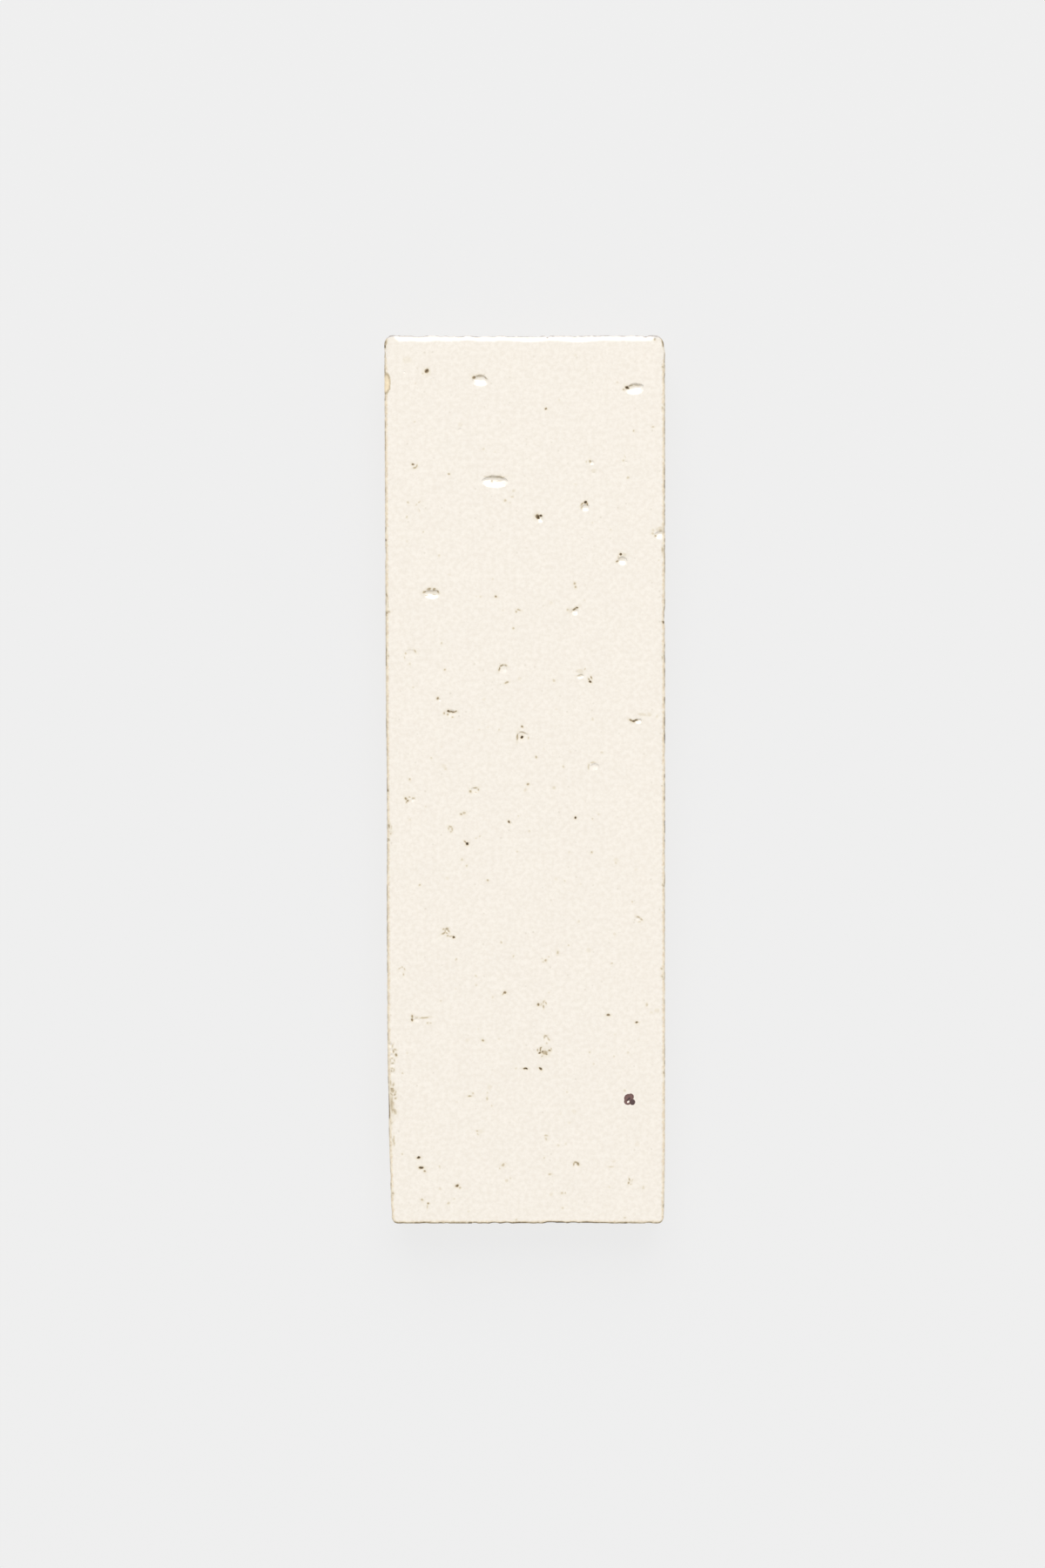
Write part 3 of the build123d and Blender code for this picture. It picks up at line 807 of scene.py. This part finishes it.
def tile_mesh():
    """The whole tile as one closed mesh."""
    surface = Surface()
    outline = plain_outline()
    rim_height, rim_stain_and_shade = add_face(surface, outline)
    last_side_ring = add_sides(surface, outline, rim_height, rim_stain_and_shade)
    add_back(surface, outline, last_side_ring)
    return surface.mesh("glazed_thin_brick")


class Shader:
    """Builds one material's nodes, so that the material reads as a few lines."""

    def __init__(self, name):
        self.material = bpy.data.materials.new(name)
        self.material.use_nodes = True
        self.nodes = self.material.node_tree.nodes
        self.links = self.material.node_tree.links
        self.surface = self.nodes["Principled BSDF"]
        self.place = self.add("ShaderNodeTexCoord").outputs["Object"]

    def add(self, kind, **inputs):
        node = self.nodes.new(kind)
        for name, value in inputs.items():
            self.put(node.inputs[name.replace("_", " ")], value)
        return node

    def put(self, socket, value):
        if isinstance(value, bpy.types.NodeSocket):
            self.links.new(value, socket)
        else:
            socket.default_value = value

    def mask(self, name):
        node = self.add("ShaderNodeAttribute")
        node.attribute_name = name
        return node.outputs["Fac"]

    def noise(self, period, detail=2.0, rough=0.5):
        """Noise from 0 to 1 whose bumps are about period millimetres apart."""
        node = self.add("ShaderNodeTexNoise", Vector=self.place, Scale=1 / (period * mm), Detail=detail)
        node.inputs["Roughness"].default_value = rough
        return node.outputs["Fac"]

    def dots(self, period, radius, share):
        """1 in dots over a share of places that are about period millimetres apart, and 0 elsewhere."""
        node = self.add("ShaderNodeTexVoronoi", Vector=self.place, Scale=1 / (period * mm))
        dot = self.rise(node.outputs["Distance"], radius / period, 0.3 * radius / period)
        chance = self.add("ShaderNodeSeparateColor", Color=node.outputs["Color"]).outputs["Red"]
        return self.math("MULTIPLY", dot, self.rise(chance, share, 0.5 * share))

    def math(self, operation, first, second=0.0, clamp=False):
        node = self.nodes.new("ShaderNodeMath")
        node.operation = operation
        node.use_clamp = clamp
        self.put(node.inputs[0], first)
        self.put(node.inputs[1], second)
        return node.outputs[0]

    def rise(self, value, start, end, low=0.0, high=1.0):
        """Goes smoothly from low, where value is start, to high, where it is end."""
        node = self.add("ShaderNodeMapRange", Value=value)
        node.interpolation_type = "SMOOTHSTEP"
        for name, number in (("From Min", start), ("From Max", end), ("To Min", low), ("To Max", high)):
            self.put(node.inputs[name], number)
        return node.outputs["Result"]

    def mix(self, share, first, second):
        node = self.nodes.new("ShaderNodeMix")
        node.data_type = "RGBA"
        self.put(node.inputs["Factor"], share)
        colours = [socket for socket in node.inputs if socket.type == "RGBA"]
        self.put(colours[0], first)
        self.put(colours[1], second)
        return [socket for socket in node.outputs if socket.type == "RGBA"][0]

    def ramp(self, value, colours):
        """Colours spread evenly over value, from 0 to 1."""
        node = self.add("ShaderNodeValToRGB", Fac=value)
        stops = node.color_ramp.elements
        while len(stops) < len(colours):
            stops.new(0.5)
        for number, colour in enumerate(colours):
            stops[number].position = number / (len(colours) - 1)
            stops[number].color = srgb(colour)
        return node.outputs["Color"]

    def bump(self, height, distance, below=None):
        """Relief of a height from 0 to 1 that stands for distance millimetres."""
        node = self.add("ShaderNodeBump", Height=height, Distance=distance * mm)
        if below is not None:
            self.put(node.inputs["Normal"], below)
        return node.outputs["Normal"]


def glazed_brick():
    """Cream glaze that breaks thin over pits and edges, on bare buff clay, with painted shade along the top
    end, a painted shadow along the foot, painted shade in the largest pits and a painted highlight in the
    iron spot.
    """
    shader = Shader("glazed_brick")
    stain = shader.mask("stain")
    clay = shader.mask("clay")
    iron = shader.mask("iron")
    edge = shader.mask("edge")
    below_glaze = shader.mask("below_glaze")

    mottle = shader.rise(shader.noise(4.5, 3.0, 0.6), 0.3, 0.7)
    glaze = shader.mix(mottle, srgb(glaze_colours[0]), srgb(glaze_colours[1]))
    fine_grain = shader.rise(shader.noise(0.9, 3.0, 0.6), 0.3, 0.7, 0.0, 0.6)
    glaze = shader.mix(fine_grain, glaze, srgb(grain_colour))
    specks = shader.dots(1.8, 0.32, 0.35)
    glaze = shader.mix(shader.math("MULTIPLY", specks, 0.3), glaze, srgb(speck_colour))

    broken = shader.math("ADD", edge, shader.math("MULTIPLY", shader.noise(0.6, 3.0, 0.6), 0.9))
    thin = shader.rise(broken, 1.3, 0.8)
    edge_tone = shader.rise(shader.noise(0.9, 3.0, 0.65), 0.35, 0.68)
    glaze = shader.mix(thin, glaze, shader.ramp(edge_tone, edge_colours))

    grain = shader.noise(0.45, 3.0, 0.6)
    stain_and_shade_depth = shader.math("MULTIPLY", stain, shader.rise(grain, 0.25, 0.7, 0.75, 1.15), clamp=True)
    # Along the top end the stains take greyer colours: painted shade on the top lip.
    along = shader.add("ShaderNodeSeparateXYZ", Vector=shader.place).outputs["Y"]
    at_top = shader.rise(along, (half_length - 1.0) * mm, (half_length - 0.5) * mm)
    plain_stain_and_shade = shader.ramp(stain_and_shade_depth, stain_and_shade_colours)
    stain_and_shade_colour = shader.mix(at_top, plain_stain_and_shade, shader.ramp(stain_and_shade_depth, top_stain_and_shade_colours))
    glaze = shader.mix(shader.rise(stain, 0.02, 0.2), glaze, stain_and_shade_colour)

    clay_tone = shader.noise(1.6, 4.0, 0.65)
    side_body = shader.ramp(clay_tone, side_clay_colours)
    # Chips take a lighter clay colour than the sides: partly painted light.
    body = shader.mix(clay, side_body, shader.ramp(clay_tone, chip_clay_and_painted_light_colours))
    pores = shader.rise(shader.noise(0.6, 2.0), 0.66, 0.78, 0.0, 0.7)
    body = shader.mix(pores, body, srgb(clay_dirt_colour))
    body = shader.mix(shader.math("MULTIPLY", stain, 1.2, clamp=True), body, srgb(clay_dirt_colour))

    ragged = shader.rise(shader.noise(0.7, 3.0, 0.6), 0.2, 0.8, -0.15, 0.15)
    ragged_end = shader.math("ADD", below_glaze, ragged)
    bare_side = shader.rise(ragged_end, -0.08, 0.08)
    bare = shader.math("MAXIMUM", bare_side, clay)
    colour = shader.mix(bare, glaze, body)
    colour = shader.mix(shader.rise(iron, 0.03, 0.14), colour, shader.ramp(iron, iron_colours))

    gloss = shader.rise(shader.noise(2.0), 0.3, 0.7, *glaze_roughness)
    dull = shader.math("MULTIPLY", thin, 0.25)
    gloss = shader.math("ADD", gloss, dull)
    rough = shader.math("MAXIMUM", gloss, shader.math("MULTIPLY", bare, clay_roughness))

    ripple = shader.bump(shader.noise(2.6, 1.0), 0.02)
    ripple = shader.bump(shader.noise(0.8, 2.0), 0.004, ripple)
    tooth = shader.math("MULTIPLY", shader.noise(0.7, 4.0, 0.65), bare)
    relief = shader.bump(tooth, 0.18, ripple)

    shader.put(shader.surface.inputs["Base Color"], colour)
    shader.put(shader.surface.inputs["Roughness"], rough)
    shader.put(shader.surface.inputs["Specular IOR Level"], shader.rise(stain, 0.1, 0.4, 0.5, 0.12))
    shader.put(shader.surface.inputs["Normal"], relief)
    shader.surface.inputs["IOR"].default_value = glaze_ior
    return shader.material


def shown(tree, lit, seen):
    """A number: seen for rays that show a surface, also mirrored, and lit for rays that light it."""
    rays = tree.nodes.new("ShaderNodeLightPath")
    showing = rays.outputs["Is Camera Ray"]
    for name in ("Is Glossy Ray", "Is Transmission Ray"):
        either = tree.nodes.new("ShaderNodeMath")
        either.operation = "MAXIMUM"
        tree.links.new(showing, either.inputs[0])
        tree.links.new(rays.outputs[name], either.inputs[1])
        showing = either.outputs[0]
    number = tree.nodes.new("ShaderNodeMapRange")
    number.inputs["To Min"].default_value = lit
    number.inputs["To Max"].default_value = seen
    tree.links.new(showing, number.inputs["Value"])
    return number.outputs["Result"]


def floor_finish():
    """A pale floor that shows mostly as its own colour, and so keeps a soft part of the tile's shadow."""
    material = bpy.data.materials.new("pale_floor")
    material.use_nodes = True
    tree = material.node_tree
    matt = tree.nodes["Principled BSDF"]
    matt.inputs["Base Color"].default_value = srgb(floor_colour)
    matt.inputs["Roughness"].default_value = 0.9
    matt.inputs["Specular IOR Level"].default_value = 0.1
    plain = tree.nodes.new("ShaderNodeEmission")
    plain.inputs["Color"].default_value = srgb(floor_colour)
    both = tree.nodes.new("ShaderNodeMixShader")
    tree.links.new(shown(tree, 0.0, floor_plain_share), both.inputs["Fac"])
    tree.links.new(matt.outputs["BSDF"], both.inputs[1])
    tree.links.new(plain.outputs["Emission"], both.inputs[2])
    tree.links.new(both.outputs["Shader"], tree.nodes["Material Output"].inputs["Surface"])
    return material


def add_floor():
    """A wide floor, just clear of the tile's back."""
    reach = 12.0
    floor_gap = 0.05 * mm
    sides = ((-1, -1), (1, -1), (1, 1), (-1, 1))
    corners = [(side_x * reach, side_y * reach, -floor_gap) for side_x, side_y in sides]
    mesh = bpy.data.meshes.new("floor")
    mesh.from_pydata(corners, [], [(0, 1, 2, 3)])
    mesh.materials.append(floor_finish())
    floor = bpy.data.objects.new("floor", mesh)
    bpy.context.scene.collection.objects.link(floor)


def add_softbox(name, place, width, height, radiance):
    """A rectangular lamp that faces the tile and shines evenly."""
    lamp = bpy.data.lights.new(name, "AREA")
    lamp.shape = "RECTANGLE"
    lamp.size = width
    lamp.size_y = height
    lamp.energy = radiance * math.pi * width * height
    holder = bpy.data.objects.new(name, lamp)
    holder.location = place
    holder.rotation_euler = (-Vector(place)).to_track_quat("-Z", "Y").to_euler()
    holder.visible_camera = False
    bpy.context.scene.collection.objects.link(holder)


def add_light():
    """A wide softbox past the tile's top end, a weaker card past its foot, and an even pale room."""
    add_softbox("key_softbox", place=(0.0, 5.7, 4.8), width=7.0, height=7.0, radiance=3.3)
    add_softbox("foot_card", place=(0.0, -6.6, 3.0), width=9.0, height=4.2, radiance=0.7)
    world = bpy.data.worlds.new("studio")
    world.use_nodes = True
    tree = world.node_tree
    room = tree.nodes["Background"]
    room.inputs["Color"].default_value = srgb(floor_colour)
    tree.links.new(shown(tree, room_light, room_shown), room.inputs["Strength"])
    bpy.context.scene.world = world


def add_camera():
    """Looks straight down on the face, with the tile's top end at the top of the picture."""
    camera = bpy.data.cameras.new("camera")
    camera.sensor_width = 36.0
    camera.lens = 70.0
    view_height = photo_height_px / px_per_mm * mm
    distance = view_height / 2 / (camera.sensor_width / 2 / camera.lens)
    middle_x, middle_y = on_face(photo_width_px / 2, photo_height_px / 2)
    holder = bpy.data.objects.new("camera", camera)
    holder.location = (middle_x * mm, middle_y * mm, thickness * mm + distance)
    holder.rotation_euler = (0.0, 0.0, 0.0)
    bpy.context.scene.collection.objects.link(holder)
    bpy.context.scene.camera = holder


tile = bpy.data.objects.new("glazed_thin_brick", tile_mesh())
tile.data.materials.append(glazed_brick())
bpy.context.scene.collection.objects.link(tile)
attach(tile, "root")
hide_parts("thin_brick")

add_floor()
add_light()
add_camera()
bpy.context.scene.view_settings.view_transform = "Standard"
